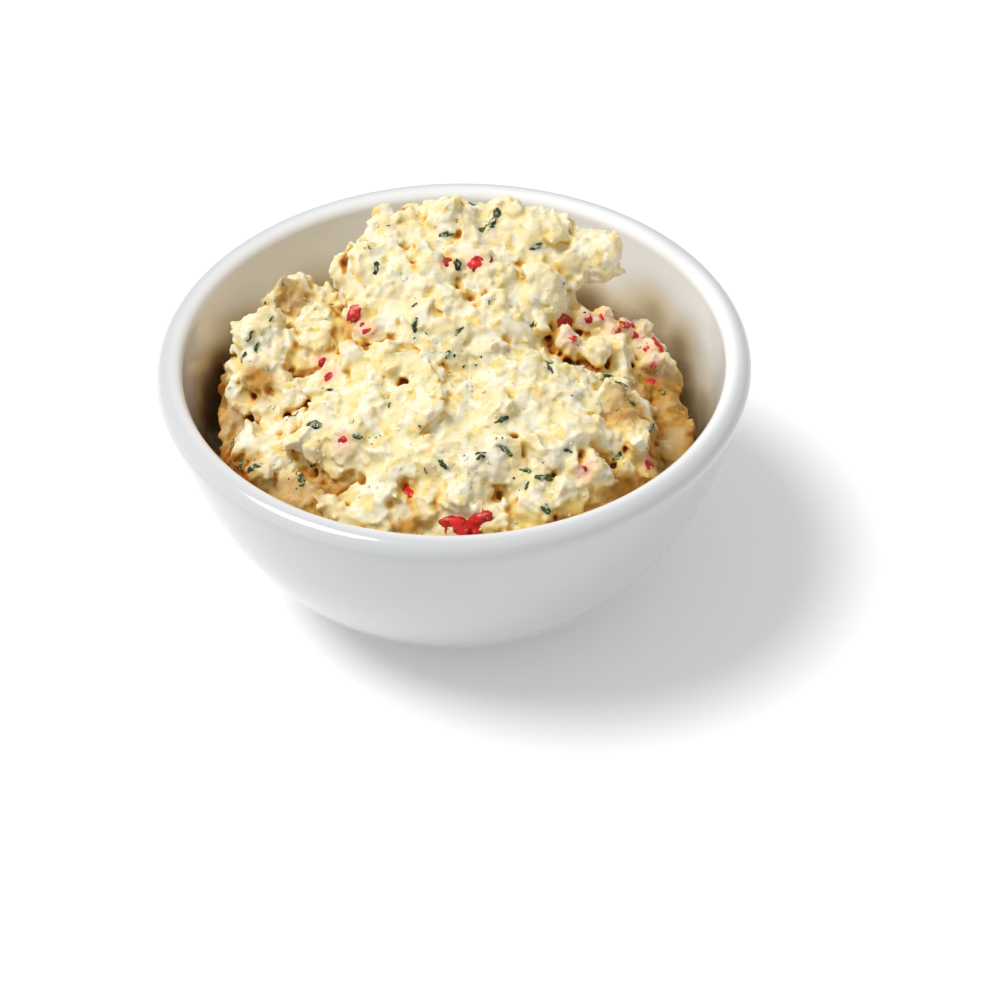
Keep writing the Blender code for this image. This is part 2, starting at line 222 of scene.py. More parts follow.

# Where the cheese is creamy, where shade is painted on it, and where the heap's shadow is painted on the
# wall: middle and reach in mm
CREAMY = (((-8, -24, 60), 15), ((18, -33, 58), 12), ((3, -30, 60), 10))
SHADED_PLACES = (
    ((-48, 1, 44), 12), ((-47, -18, 44), 11), ((-41, -30, 47), 8), ((-32, -37, 47.5), 8), ((-27, -37, 46), 8),
    ((-9, -48, 50), 6), ((45, -18, 48.5), 11), ((46, -9, 49), 10), ((39, -10.5, 51), 8), ((40, -27, 48.5), 9),
    ((34, -23, 57), 7), ((32, -38, 50), 6), ((-39, -9, 53.5), 6), ((44, 14, 47), 10), ((-43, 19, 49), 8),
    ((-33, 14, 58), 6), ((8, -12, 62), 4), ((-27, -35, 45), 8), ((-46, -11, 44), 9), ((-22, -37, 47), 6),
)
# The heap's shadow painted on the right inner wall: middle and reach in mm
HEAP_SHADOW_ON_WALL = (((43, 30, 42), 19), ((47, 20, 40), 17))

# Colours of the glaze: the outside painted darker and the inside painted lighter, then the painted shade and
# painted reflection of the cheese on the wall near the heap, darkest nearest, and the bare foot
GLAZE_OUTSIDE_PAINTED_DARKER = ((0.50, 0.51, 0.52), (0.53, 0.54, 0.55))
GLAZE_INSIDE_PAINTED_LIGHTER = (0.84, 0.84, 0.84)
HEAP_SHADE_COLOURS = ((0.62, 0.53, 0.37), (0.22, 0.14, 0.07), (0.09, 0.045, 0.02))
BARE_FOOT = (0.70, 0.67, 0.61)

# Colours of the cheese: on top of the curds, then the painted shade down in the dips and cracks
CREAM = (0.75, 0.66, 0.41)
PALE_CREAM = (0.755, 0.71, 0.55)
YELLOW = (0.75, 0.635, 0.34)
DEEP_YELLOW = (0.74, 0.58, 0.22)
PEACH = (0.745, 0.63, 0.38)
MILKY = (0.755, 0.72, 0.56)
BLUSH = (0.75, 0.38, 0.30)
SMUDGE = (0.36, 0.39, 0.27)
DIP_SHADE = (0.74, 0.57, 0.19)
AMBER_SHADE = (0.64, 0.29, 0.04)
CRACK_SHADE = (0.18, 0.045, 0.006)
SHADE_TINT = (0.58, 0.34, 0.08)

# Colours of the pepper and the herb, each with its film of cheese
PEPPER_REDS = ((0.30, 0.004, 0.003), (0.60, 0.014, 0.008))
PEPPER_FILM = (0.70, 0.27, 0.17)
HERB_GREENS = ((0.010, 0.018, 0.008), (0.05, 0.085, 0.018))
HERB_FILM = (0.50, 0.48, 0.32)

# Camera and light
VIEW_DISTANCE = 531.5 * MM
VIEW_DOWN = math.radians(41.6)
VIEW_TARGET = Vector((8.9, 0.0, 13.6)) * MM
VIEW_ROLL = math.radians(-0.85)
LIGHT_TRAVELS = Vector((30.0, 2.0, -55.0))
LIGHT_WIDTH = 0.50
KEY_STRENGTH = 2.95
FILL_STRENGTH = 0.56
FLOOR_SHADE = 0.76
FLOOR_GLOW = 0.20


# Objects and meshes

def deselect():
    bpy.ops.object.select_all(action="DESELECT")


def choose(obj):
    """Makes the object the only selected one."""
    deselect()
    obj.select_set(True)
    bpy.context.view_layer.objects.active = obj


def apply_modifiers(obj):
    choose(obj)
    for modifier in list(obj.modifiers):
        bpy.ops.object.modifier_apply(modifier=modifier.name)


def smooth_shaded(obj):
    choose(obj)
    bpy.ops.object.shade_smooth()


def points_of(mesh):
    points = np.empty(len(mesh.vertices) * 3, np.float32)
    mesh.vertices.foreach_get("co", points)
    return points.reshape(-1, 3).astype(float)


def set_points(mesh, points):
    mesh.vertices.foreach_set("co", points.astype(np.float32).ravel())
    mesh.update()


def normals_of(mesh):
    normals = np.empty(len(mesh.vertices) * 3, np.float32)
    mesh.vertices.foreach_get("normal", normals)
    return normals.reshape(-1, 3).astype(float)


def triangles_of(mesh):
    mesh.calc_loop_triangles()
    triangles = np.empty(len(mesh.loop_triangles) * 3, np.int32)
    mesh.loop_triangles.foreach_get("vertices", triangles)
    return triangles.reshape(-1, 3)


def edges_of(mesh):
    edges = np.empty(len(mesh.edges) * 2, np.int32)
    mesh.edges.foreach_get("vertices", edges)
    return edges.reshape(-1, 2)


def new_object(name, mesh):
    obj = bpy.data.objects.new(name, mesh)
    bpy.context.scene.collection.objects.link(obj)
    return obj


def mesh_object(name, points, triangles):
    mesh = bpy.data.meshes.new(name)
    mesh.vertices.add(len(points))
    mesh.vertices.foreach_set("co", points.astype(np.float32).ravel())
    mesh.loops.add(3 * len(triangles))
    mesh.loops.foreach_set("vertex_index", triangles.astype(np.int32).ravel())
    mesh.polygons.add(len(triangles))
    mesh.polygons.foreach_set("loop_start", np.arange(0, 3 * len(triangles), 3, dtype=np.int32))
    mesh.update(calc_edges=True)
    mesh.validate()
    return new_object(name, mesh)


def voxel_remesh(obj, size):
    remesh = obj.modifiers.new("fuse", "REMESH")
    remesh.mode = "VOXEL"
    remesh.voxel_size = size
    apply_modifiers(obj)


def noise_at(points, size, seed, octaves=1):
    """Smooth noise of about -1 to 1 at each point, with features of that size."""
    offset = Vector((3.7, 1.9, 2.3)) * seed
    return np.array([noise.fractal(Vector(p) / size + offset, 1.0, 2.0, octaves) for p in points])


def averaged(values, edges, rounds):
    """Each point's values drawn halfway to the mean of its neighbours', some rounds over."""
    count = len(values)
    neighbours = np.maximum(np.bincount(edges.ravel(), minlength=count), 1)[:, None]
    values = values.copy()
    for _ in range(rounds):
        total = np.empty_like(values)
        for axis in range(values.shape[1]):
            column = values[:, axis]
            total[:, axis] = np.bincount(edges[:, 0], weights=column[edges[:, 1]], minlength=count)
            total[:, axis] += np.bincount(edges[:, 1], weights=column[edges[:, 0]], minlength=count)
        values += (total / neighbours - values) / 2
    return values


# Scattering

def random_turns(draw, count):
    """Rotation matrices of every direction alike."""
    q = draw.normal(size=(count, 4))
    q /= np.linalg.norm(q, axis=1)[:, None]
    w, x, y, z = q.T
    rows = (
        (1 - 2 * (y * y + z * z), 2 * (x * y - z * w), 2 * (x * z + y * w)),
        (2 * (x * y + z * w), 1 - 2 * (x * x + z * z), 2 * (y * z - x * w)),
        (2 * (x * z - y * w), 2 * (y * z + x * w), 1 - 2 * (x * x + y * y)),
    )
    return np.moveaxis(np.array(rows), 2, 0)


def turns_on(normals, draw, tilt):
    """Rotation matrices that lay Z along each normal, spun at random and tilted a little."""
    lean = normals + draw.normal(size=normals.shape) * tilt
    lean /= np.linalg.norm(lean, axis=1)[:, None]
    along = np.cross(lean, draw.normal(size=normals.shape))
    along /= np.linalg.norm(along, axis=1)[:, None]
    return np.stack([along, np.cross(lean, along), lean], axis=2)


def placed(turns, sizes, spots):
    """Matrices of 3 by 4 from rotations, sizes along three axes, and places."""
    return np.concatenate([turns * sizes[:, None, :], spots[:, :, None]], axis=2)


def scattered(name, shapes, picks, places):
    """One mesh of many copies: picks is which shape each copy has, places its 3 by 4 matrix."""
    points, triangles, start = [], [], 0
    for number, (shape, faces) in enumerate(shapes):
        chosen = places[picks == number]
        moved = np.einsum("nij,vj->nvi", chosen[:, :, :3], shape) + chosen[:, None, :, 3]
        offsets = start + len(shape) * np.arange(len(chosen))
        triangles.append((faces[None] + offsets[:, None, None]).reshape(-1, 3))
        points.append(moved.reshape(-1, 3))
        start += len(shape) * len(chosen)
    return mesh_object(name, np.concatenate(points), np.concatenate(triangles))


def spots_on(mesh, count, draw, weigh):
    """Random places on a mesh, by area times what weigh gives for it, with their normals and triangles."""
    points = points_of(mesh)
    corners = points[triangles_of(mesh)]
    cross = np.cross(corners[:, 1] - corners[:, 0], corners[:, 2] - corners[:, 0])
    double_area = np.maximum(np.linalg.norm(cross, axis=1), 1e-15)
    normals = cross / double_area[:, None]
    weight = double_area * weigh(corners.mean(axis=1))
    chosen = draw.choice(len(corners), count, p=weight / weight.sum())
    a, b = draw.random((2, count))
    over = a + b > 1
    a[over], b[over] = 1 - a[over], 1 - b[over]
    c = corners[chosen]
    spots = c[:, 0] + a[:, None] * (c[:, 1] - c[:, 0]) + b[:, None] * (c[:, 2] - c[:, 0])
    return spots, normals[chosen], chosen


def wall_room(points):
    """How far each point is inside the bowl's wall, roughly, in metres."""
    height = np.clip(points[:, 2] / BOWL_HEIGHT, 0.2, 1.0)
    wall = BOWL_RADIUS * (WALL_AT_FLOOR + WALL_FLARE * height)
    return wall - np.linalg.norm(points[:, :2], axis=1)


# Bowl

def bezier(start, pull_a, pull_b, end, steps):
    """Points along a cubic curve, without its first one."""
    points = []
    for i in range(1, steps + 1):
        t = i / steps
        s = 1 - t
        weights = (s ** 3, 3 * s * s * t, 3 * s * t * t, t ** 3)
        corners = (start, pull_a, pull_b, end)
        points.append(tuple(sum(w * c[axis] for w, c in zip(weights, corners)) for axis in (0, 1)))
    return points


def bowl_profile():
    """The bowl's section from the middle of its floor, over the lip and down to the foot."""
    floor = FOOT_HEIGHT + FLOOR_THICKNESS - 0.2 * MM
    lip = (BOWL_RADIUS - LIP_RADIUS, BOWL_HEIGHT - LIP_RADIUS)
    top = (lip[0] - LIP_RADIUS, lip[1])
    points = bezier((0.0, floor), (42.0 * MM, floor), (50.6 * MM, 30.0 * MM), top, 44)
    for i in range(1, 15):
        angle = math.pi * (1 - i / 14)
        points.append((lip[0] + LIP_RADIUS * math.cos(angle), lip[1] + LIP_RADIUS * math.sin(angle)))
    shoulder = (FOOT_RADIUS, FOOT_HEIGHT)
    points += bezier(points[-1], (55.0 * MM, 30.5 * MM), (49.8 * MM, 12.8 * MM), shoulder, 26)
    outer, inner = FOOT_RADIUS - 0.4 * MM, FOOT_RADIUS - FOOT_WIDTH
    points += bezier(shoulder, (outer, 0.9 * MM), (outer, 0.0), (outer - 0.7 * MM, 0.0), 6)
    under = FOOT_HEIGHT - 0.2 * MM
    points += bezier((inner + 0.5 * MM, 0.0), (inner, 0.0), (inner, 0.9 * MM), (inner - 0.5 * MM, under), 5)
    points.append((2.0 * MM, under))
    return points


def turned_shell(name, profile, segments):
    """A closed round body, drawn out ring by ring along a profile of (radius, height) points."""
    deselect()
    radius, height = profile[0]
    start = (0, 0, height)
    bpy.ops.mesh.primitive_circle_add(vertices=segments, radius=radius, fill_type="TRIFAN", location=start)
    shell = bpy.context.object
    shell.name = name
    bpy.ops.object.transform_apply(location=True)
    bpy.ops.object.mode_set(mode="EDIT")
    bpy.ops.mesh.select_mode(type="EDGE")
    bpy.ops.mesh.select_all(action="DESELECT")
    bpy.ops.mesh.select_non_manifold()
    for wider, higher in profile[1:]:
        bpy.ops.mesh.extrude_region_move(TRANSFORM_OT_translate={"value": (0, 0, higher - height)})
        share = wider / radius
        bpy.ops.transform.resize(value=(share, share, 1), center_override=(0, 0, higher))
        radius, height = wider, higher
    bpy.ops.mesh.extrude_region_move()
    bpy.ops.mesh.merge(type="CENTER")
    bpy.ops.mesh.select_all(action="SELECT")
    bpy.ops.mesh.normals_make_consistent(inside=False)
    bpy.ops.object.mode_set(mode="OBJECT")
    smooth_shaded(shell)
    return shell


# Shapes that are scattered

def shape_of(obj):
    """The object's points and triangles, and the object goes."""
    shape = points_of(obj.data), triangles_of(obj.data).copy()
    mesh = obj.data
    bpy.data.objects.remove(obj)
    bpy.data.meshes.remove(mesh)
    return shape


def crumb_shape(detail, seed, roughness, grain=0.8, flats=9):
    """A broken crumb about 2 across: a sphere with uneven flats, then pushed about by noise."""
    deselect()
    bpy.ops.mesh.primitive_ico_sphere_add(subdivisions=detail, radius=1.0)
    crumb = bpy.context.object
    points = points_of(crumb.data) * 1.25
    draw = np.random.default_rng(seed)
    for _ in range(flats):
        facing = draw.normal(size=3)
        facing /= np.linalg.norm(facing)
        beyond = points @ facing - draw.uniform(0.7, 1.05)
        points -= np.maximum(beyond, 0)[:, None] * facing
    points *= (1 + roughness * noise_at(points, grain, seed, 2))[:, None]
    set_points(crumb.data, points)
    return shape_of(crumb)


def leaf_shape(seed, width, across=4, along=12):
    """A scrap of leaf about 1 long, narrower at both ends, ragged, wavy and thin."""
    deselect()
    bpy.ops.mesh.primitive_grid_add(x_subdivisions=along, y_subdivisions=across, size=1.0)
    leaf = bpy.context.object
    points = points_of(leaf.data)
    x, y = points[:, 0].copy(), points[:, 1].copy()
    ragged = np.clip(1 + 0.7 * noise_at(points, 0.2, seed + 5), 0.5, 1.6)
    points[:, 1] = y * width * (1 - 2.4 * x * x) * ragged + 0.06 * np.sin(4 * x + seed)
    points[:, 0] += 0.09 * noise_at(points, 0.25, seed + 9)
    points[:, 2] = 0.05 * np.sin(5 * x + seed) + 0.3 * y * y * width + 0.06 * noise_at(points, 0.3, seed)
    set_points(leaf.data, points)
    thick = leaf.modifiers.new("thickness", "SOLIDIFY")
    thick.thickness = 0.05
    apply_modifiers(leaf)
    return shape_of(leaf)


# The spread's mass

def spread_core():
    """A merged copy of the spread's solid, its facets rounded off."""
    core = new_object("spread_core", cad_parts["feta_spread"].data.copy())
    choose(core)
    bpy.ops.object.mode_set(mode="EDIT")
    bpy.ops.mesh.select_all(action="SELECT")
    bpy.ops.mesh.remove_doubles(threshold=0.01 * MM)
    bpy.ops.object.mode_set(mode="OBJECT")
    voxel_remesh(core, CORE_VOXEL)
    smooth = core.modifiers.new("rounded", "SMOOTH")
    smooth.factor = 0.5
    smooth.iterations = 3
    apply_modifiers(core)
    return core


def seen_part(centres):
    """1 where the heap can be seen, 0 on its hidden underside."""
    return (centres[:, 2] > UNSEEN_BELOW) & (wall_room(centres) > 0.2 * MM)


def crumbly_part(centres):
    """The seen part in patches, some bare and some full of crumbs."""
    patches = np.clip(0.4 + 1.5 * noise_at(centres, CRUMBLY_PATCH, 4, 2), 0.06, 1.8)
    return seen_part(centres) * patches * (1 - 0.8 * near_places(centres, CREAMY))


def crack_points():
    """Middles along each crack, with its radius and depth at each."""
    for start, end, radius, depth in CRACKS:
        for share in np.linspace(0, 1, 5):
            middle = (np.array(start) * (1 - share) + np.array(end) * share) * MM
            yield middle, radius * MM, depth * MM


def crack_open(mesh):
    """Presses the cracks into the core."""
    points, normals = points_of(mesh), normals_of(mesh)
    push = np.zeros(len(points))
    for middle, radius, depth in crack_points():
        push = np.maximum(push, depth * near(points, [middle], [1.5 * radius]) ** 0.7)
    push *= np.clip(0.75 + 1.2 * noise_at(points, 2.4 * MM, 15, 2), 0.1, 1.2)
    set_points(mesh, points - normals * push[:, None])


def near_places(points, rows):
    """1 at the middle of each (middle, reach) row in mm, falling to 0 at its reach."""
    return near(points, [np.array(middle) * MM for middle, _ in rows], [reach * MM for _, reach in rows])


def clear_of(spots, radius, spaces):
    """Which pieces of those radii stay out of the (middle, reach) spaces."""
    clear = np.ones(len(spots), bool)
    for middle, reach in spaces:
        clear &= np.linalg.norm(spots - middle, axis=1) > reach + 0.7 * radius
    return clear


def fused_pieces(core, keep_clear):
    """(shapes, picks, places) of the clods, lumps and crumbs that are fused into the core."""
    draw = np.random.default_rng(HEAP_SEED)
    kinds = (
        (CLODS, seen_part, 4, 0.26, 0.4),
        (LUMPS, crumbly_part, 3, 0.2, 0.6),
        (CRUMBS, crumbly_part, 2, 0.16, 0.8),
    )
    for row, weigh, detail, roughness, grain in kinds:
        count, smallest, largest, thickness, sink, lift, tilt = row
        spots, normals, _ = spots_on(core.data, count, draw, weigh)
        radius = draw.triangular(smallest, smallest, largest, count) * MM
        sizes = radius[:, None] * draw.uniform(0.75, 1.25, (count, 3)) * (1, 1, thickness)
        raised = draw.uniform(sink, lift, count) - 0.45 * near_places(spots, CREAMY)
        spots = spots + normals * (sizes[:, 2] * raised)[:, None]
        free = (wall_room(spots) > 0.8 * radius) & clear_of(spots, radius, keep_clear)
        places = placed(turns_on(normals, draw, tilt), sizes, spots)[free]
        shapes = [crumb_shape(detail, seed, roughness, grain) for seed in range(CRUMB_SHAPES)]
        yield shapes, draw.integers(0, CRUMB_SHAPES, count)[free], places
    middles = np.array([middle for middle, _ in NAMED_CLODS]) * MM
    sizes = np.array([[radius] * 3 for _, radius in NAMED_CLODS]) * MM
    shapes = [crumb_shape(4, seed, 0.26, 0.4) for seed in range(CRUMB_SHAPES)]
    places = placed(random_turns(draw, len(middles)), sizes, middles)
    yield shapes, np.arange(len(middles)) % CRUMB_SHAPES, places


def cut_off(obj, point, normal):
    """Takes away all of the object that lies on the normal's side of a plane."""
    deselect()
    reach = 0.3
    bpy.ops.mesh.primitive_cube_add(size=reach)
    block = bpy.context.object
    turn = normal.to_track_quat("Z", "Y").to_matrix().to_4x4()
    block.matrix_world = Matrix.Translation(point + normal * reach / 2) @ turn
    cut = obj.modifiers.new("cut", "BOOLEAN")
    cut.object = block
    cut.operation = "DIFFERENCE"
    cut.solver = "MANIFOLD"
    apply_modifiers(obj)
    bpy.data.objects.remove(block)


def on_side(places, planes):
    """Which pieces lie within all the cuts or reach across them."""
    inside = np.ones(len(places), bool)
    reach = OVERLAP + 0.8 * np.linalg.norm(places[:, :, 0], axis=1)
    for point, normal in planes:
        inside &= (places[:, :, 3] - np.array(point)) @ np.array(normal) < reach
    return inside


def copy_of(obj, name):
    return new_object(name, obj.data.copy())


def join(target, others):
    choose(target)
    for other in others:
        other.select_set(True)
    bpy.ops.object.join()


def curds_at(points, size):
    """How near each point is to the middle of a curd of about that size, and its curd's level, 0 to 1."""
    closeness, levels = np.empty(len(points)), np.empty(len(points))
    for number, point in enumerate(points):
        distances, middles = noise.voronoi(Vector(point) / size)
        weights = [math.exp(-9 * distance) for distance in distances]
        closeness[number] = 1 - 1.6 * distances[0]
        levels[number] = sum(w * noise.cell(7.3 * m) for w, m in zip(weights, middles)) / sum(weights)
    return np.clip(closeness, 0, 1), levels


def roughened(mesh, planes):
    """Curds, grains and uneven relief, creamier in patches, and sunk where another section takes over."""
    edges = edges_of(mesh)
    points = averaged(points_of(mesh), edges, 2)
    set_points(mesh, points)
    outwards = averaged(normals_of(mesh), edges, 3)
    grainy = np.clip(0.5 + 1.1 * noise_at(points, GRAINY_PATCH, 8, 2), 0.12, 1.0)
    grainy *= 1 - 0.7 * near_places(points, CREAMY)
    fine, fine_level = curds_at(points, FINE_CURD)
    _, broad_level = curds_at(points, BROAD_CURD)
    rise = FINE_RISE * fine + FINE_LEVEL * fine_level + FINE_NOISE * noise_at(points, 0.75 * MM, 6, 2)
    rise *= grainy
    rise += (0.3 + 0.7 * grainy) * BROAD_LEVEL * (broad_level - 0.5)
    rise += BROAD_NOISE * noise_at(points, 2.0 * MM, 7, 2)
    beyond = np.max([(points - np.array(point)) @ np.array(normal) for point, normal in planes], axis=0)
    rise -= np.clip(0.6 * beyond, 0, MOST_SUNK)
    set_points(mesh, points + outwards * rise[:, None])


def fewer_triangles(obj, count):
    triangles = len(triangles_of(obj.data))
    if triangles > count:
        fewer = obj.modifiers.new("fewer", "DECIMATE")
        fewer.ratio = count / triangles
        apply_modifiers(obj)


def section(name, core, crumbs, planes):
    """One section of the heap: its part of the core with its crumbs fused in, finely roughened."""
    body = copy_of(core, name)
    for point, normal in planes:
        cut_off(body, point + normal * OVERLAP, normal)
    pieces = []
    for shapes, picks, places in crumbs:
        kept = on_side(places, planes)
        pieces.append(scattered("crumbs", shapes, picks[kept], places[kept]))
    join(body, pieces)
    voxel_remesh(body, SKIN_VOXEL)
    roughened(body.data, planes)
    fewer_triangles(body, SECTION_TRIANGLES)
    smooth_shaded(body)
    return body


def heap_sections(core, crumbs):
    """The spread in sections that overlap a little, so that each is fine enough."""
    up, right, back = Vector((0, 0, 1)), Vector((1, 0, 0)), Vector((0, 1, 0))
    lean = Vector((0, SCOOP_LEAN, 1)).normalized()
    foot, waist = Vector(SCOOP_FOOT), up * WAIST_HEIGHT
    sections = [section("feta_scoop", core, crumbs, [(foot, -lean)])]
    for depth, along in (("front", back), ("back", -back)):
        for side, across in (("left", right), ("right", -right)):
            planes = [(foot, lean), (waist, -up), (right * MIDDLE_X, across), (back * HALFWAY_Y, along)]
            sections.append(section(f"feta_{depth}_{side}", core, crumbs, planes))
    base = copy_of(core, "feta_base")
    cut_off(base, waist + up * OVERLAP, up)
    fewer_triangles(base, BASE_TRIANGLES)
    smooth_shaded(base)
    return sections + [base]


def surface_of(objects):
    """A tree of all the objects' triangles, for casting rays."""
    points, triangles, start = [], [], 0
    for obj in objects:
        points.append(points_of(obj.data))
        triangles.append(triangles_of(obj.data) + start)
        start += len(points[-1])
    return BVHTree.FromPolygons(np.concatenate(points).tolist(), np.concatenate(triangles).tolist())


def kept_values(mesh, name):
    values = np.empty(len(mesh.vertices), np.float32)
    mesh.attributes[name].data.foreach_get("value", values)
    return values


def add_attribute(mesh, name, values):
    mesh.attributes.new(name, "FLOAT", "POINT").data.foreach_set("value", values.astype(np.float32))


def shelter(points, normals, tree):
    """How far each point is shut in by what is close, and by what is further off, each 0 to 1."""
    draw = np.random.default_rng(3)
    directions = draw.normal(size=(SHELTER_RAYS, 3))
    directions /= np.linalg.norm(directions, axis=1)[:, None]
    shut = np.zeros((len(points), 2))
    for number in np.flatnonzero(points[:, 2] > SHADED_ABOVE):
        start = Vector(points[number] + normals[number] * 0.08 * MM)
        for direction in directions + normals[number] * 1.02:
            aim = Vector(direction)
            _, facing, _, distance = tree.ray_cast(start, aim, BROAD_REACH)
            if facing and facing.dot(aim) < 0:
                shut[number, 0] += max(0.0, 1 - distance / FINE_REACH)
                shut[number, 1] += 1 - distance / BROAD_REACH
    return shut / SHELTER_RAYS


def mark_shelter(obj, tree):
    shut = shelter(points_of(obj.data), normals_of(obj.data), tree)
    shut = averaged(shut, edges_of(obj.data), 3)
    add_attribute(obj.data, "fine_shelter", shut[:, 0])
    add_attribute(obj.data, "broad_shelter", shut[:, 1])


def mark_painted_wall_shade(shell, tree):
    """Painted light on the wall, 0 to 1: how far it faces inwards, for the inside painted lighter, less where
    the heap's shadow is painted, and how near it is to the spread, for the painted shade and reflection of
    the cheese, kept off the lip.
    """
    points, normals = points_of(shell.data), normals_of(shell.data)
    radius = np.maximum(np.linalg.norm(points[:, :2], axis=1), MM)
    outwards = (normals[:, :2] * points[:, :2]).sum(axis=1) / radius
    heap_shadow = near_places(points, HEAP_SHADOW_ON_WALL)
    # The inside painted lighter than the outside, dimmed where the heap's shadow is painted
    add_attribute(shell.data, "inner", 0.5 - 0.5 * outwards - 0.35 * heap_shadow)
    # Painted shade and reflection of the cheese, strongest nearest the spread and under the heap's painted
    # shadow
    heap_shade = np.zeros(len(points))
    for number in np.flatnonzero(outwards < 0):
        distance = tree.find_nearest(Vector(points[number]), HEAP_SHADE_REACH)[3]
        if distance is not None:
            heap_shade[number] = 1 - distance / HEAP_SHADE_REACH
    heap_shade = np.maximum(heap_shade, 0.7 * heap_shadow)
    under_lip = np.clip((BOWL_HEIGHT - UNSHADED_LIP - points[:, 2]) / HEAP_SHADE_FADE, 0, 1)
    add_attribute(shell.data, "heap_shade", heap_shade * under_lip)


def near(points, middles, reach):
    """1 at the middles, falling to 0 at each one's reach."""
    closeness = np.zeros(len(points))
    for middle, far in zip(middles, reach):
        box = np.abs(points - middle).max(axis=1) < far
        distance = np.linalg.norm(points[box] - middle, axis=1)
        closeness[box] = np.maximum(closeness[box], np.clip(1 - distance / far, 0, 1))
    return closeness


# Grains, pepper and herbs

def laid(tree, spot, turn, sink):
    """The place of a piece where the heap shows a spot, on the mean slope there."""
    spot = Vector(spot) * MM
    eye = view_point() if spot.y < 20 * MM else spot + Vector((0, 0, 3 * BOWL_HEIGHT))
    ahead = (spot - eye).normalized()
    hit = tree.ray_cast(eye, ahead)[0]
    if hit is None:
        return None
    slope = Vector((0, 0, 0))
    for around in range(6):
        step = Matrix.Rotation(math.radians(60 * around), 3, "Z") @ Vector((1.5 * MM, 0, 0))
        slope += tree.ray_cast(eye + step, ahead)[1] or Vector((0, 0, 1))
    slope.normalize()
    tilt = Vector((0, 0, 1)).rotation_difference(slope).to_matrix().to_4x4()
    flat = Matrix.Rotation(math.radians(turn), 4, "Z")
    return Matrix.Translation(hit - slope * sink) @ tilt @ flat


def rows_of(matrices):
    """Matrices as one array of 3 by 4."""
    return np.array([[list(row) for row in matrix][:3] for matrix in matrices])


def pepper_places(tree):
    """Places of the red pieces, and of the small bits of pepper."""
    bits = []
    for number, (spot, length) in enumerate(PEPPER_BITS):
        bits.append((spot, (length, 0.7 * length, 0.6 * length), 50 * number))
    for spot, size, turn in PEPPERS + tuple(bits):
        half = Vector(size) * MM / 2
        yield laid(tree, spot, turn, half.z * 0.8) @ Matrix.Diagonal((*(half * 1.15), 1))


def pepper_space(tree):
    """The (middle, reach) of the room kept for each red piece among the clods."""
    red_pieces = zip(pepper_places(tree), PEPPERS)
    return [(place.translation, 0.8 * size[0] * MM / 2) for place, (_, size, _) in red_pieces]


def pepper_pieces(tree):
    places = rows_of(pepper_places(tree))
    shapes = [crumb_shape(3, seed, 0.26, 0.75, 12) for seed in range(30, 34)]
    pieces = scattered("pepper_pieces", shapes, np.arange(len(places)) % len(shapes), places)
    return pieces, places[:, :, 3]


def herb_places(tree):
    """The places of the leaf scraps: those named, then the ones scattered over the heap."""
    for spot, length, turn in HERBS:
        yield laid(tree, spot, turn, 0.0), length * MM
    draw = random.Random(FLAKE_SEED)
    for _ in range(FLAKE_COUNT):
        radius = FLAKE_REACH * math.sqrt(draw.random())
        angle = draw.uniform(0, 2 * math.pi)
        spot = Vector((radius * math.cos(angle), radius * math.sin(angle), BOWL_HEIGHT)) / MM
        yield laid(tree, spot, draw.uniform(0, 180), 0.0), draw.uniform(1.4, 2.6) * MM


def scraps_on(sections, count, smallest, largest, sink, lift, tilt, weigh, seed):
    """Places of small flat scraps on the sections, between the two sizes and heights in mm."""
    draw = np.random.default_rng(seed)
    for body in sections:
        spots, normals, _ = spots_on(body.data, count, draw, weigh)
        sizes = np.repeat(draw.triangular(smallest, smallest, largest, count)[:, None] * MM, 3, axis=1)
        spots = spots + normals * (draw.uniform(sink, lift, count) * MM)[:, None]
        yield placed(turns_on(normals, draw, tilt), sizes, spots)


def draped(leaves, shapes, picks, tree):
    """Lays scattered leaf scraps down on the heap, so that each follows the curds under it."""
    points = points_of(leaves.data)
    upper = [np.arange(len(shape)) < len(shape) / 2 for shape, _ in shapes]
    upper = np.concatenate([np.tile(half, (picks == number).sum()) for number, half in enumerate(upper)])
    for number, point in enumerate(points):
        spot, normal, _, _ = tree.find_nearest(Vector(point))
        points[number] = spot + normal * (0.13 if upper[number] else -0.1) * MM
    set_points(leaves.data, points)


def herb_flakes(tree, sections):
    """Leaf scraps at the named places, and smaller ones all over."""
    shapes = [leaf_shape(seed, width) for seed, width in enumerate((0.42, 0.3, 0.24, 0.5, 0.36))]
    named = rows_of(place @ Matrix.Scale(length, 4) for place, length in herb_places(tree) if place)
    small = scraps_on(sections, SCRAPS_A_SECTION, 0.6, 1.9, -0.05, 0.1, 0.3, crumbly_part, 8)
    places = np.concatenate([named, *small])
    picks = np.arange(len(places)) % len(shapes)
    leaves = scattered("herb_flakes", shapes, picks, places)
    draped(leaves, shapes, picks, tree)
    return leaves, places[:, :, 3]


def herb_specks(sections, middles):
    """Dust of crushed herb, most of it around the scraps."""
    shapes = [leaf_shape(seed, 0.7, 1, 2) for seed in range(4)]

    def around(centres):
        return seen_part(centres) * (0.15 + near(centres, middles, [4 * MM] * len(middles)))

    specks = scraps_on(sections, SPECKS_A_SECTION, 0.35, 0.9, -0.06, 0.06, 0.3, around, 9)
    places = np.concatenate(list(specks))
    return scattered("herb_specks", shapes, np.arange(len(places)) % len(shapes), places)


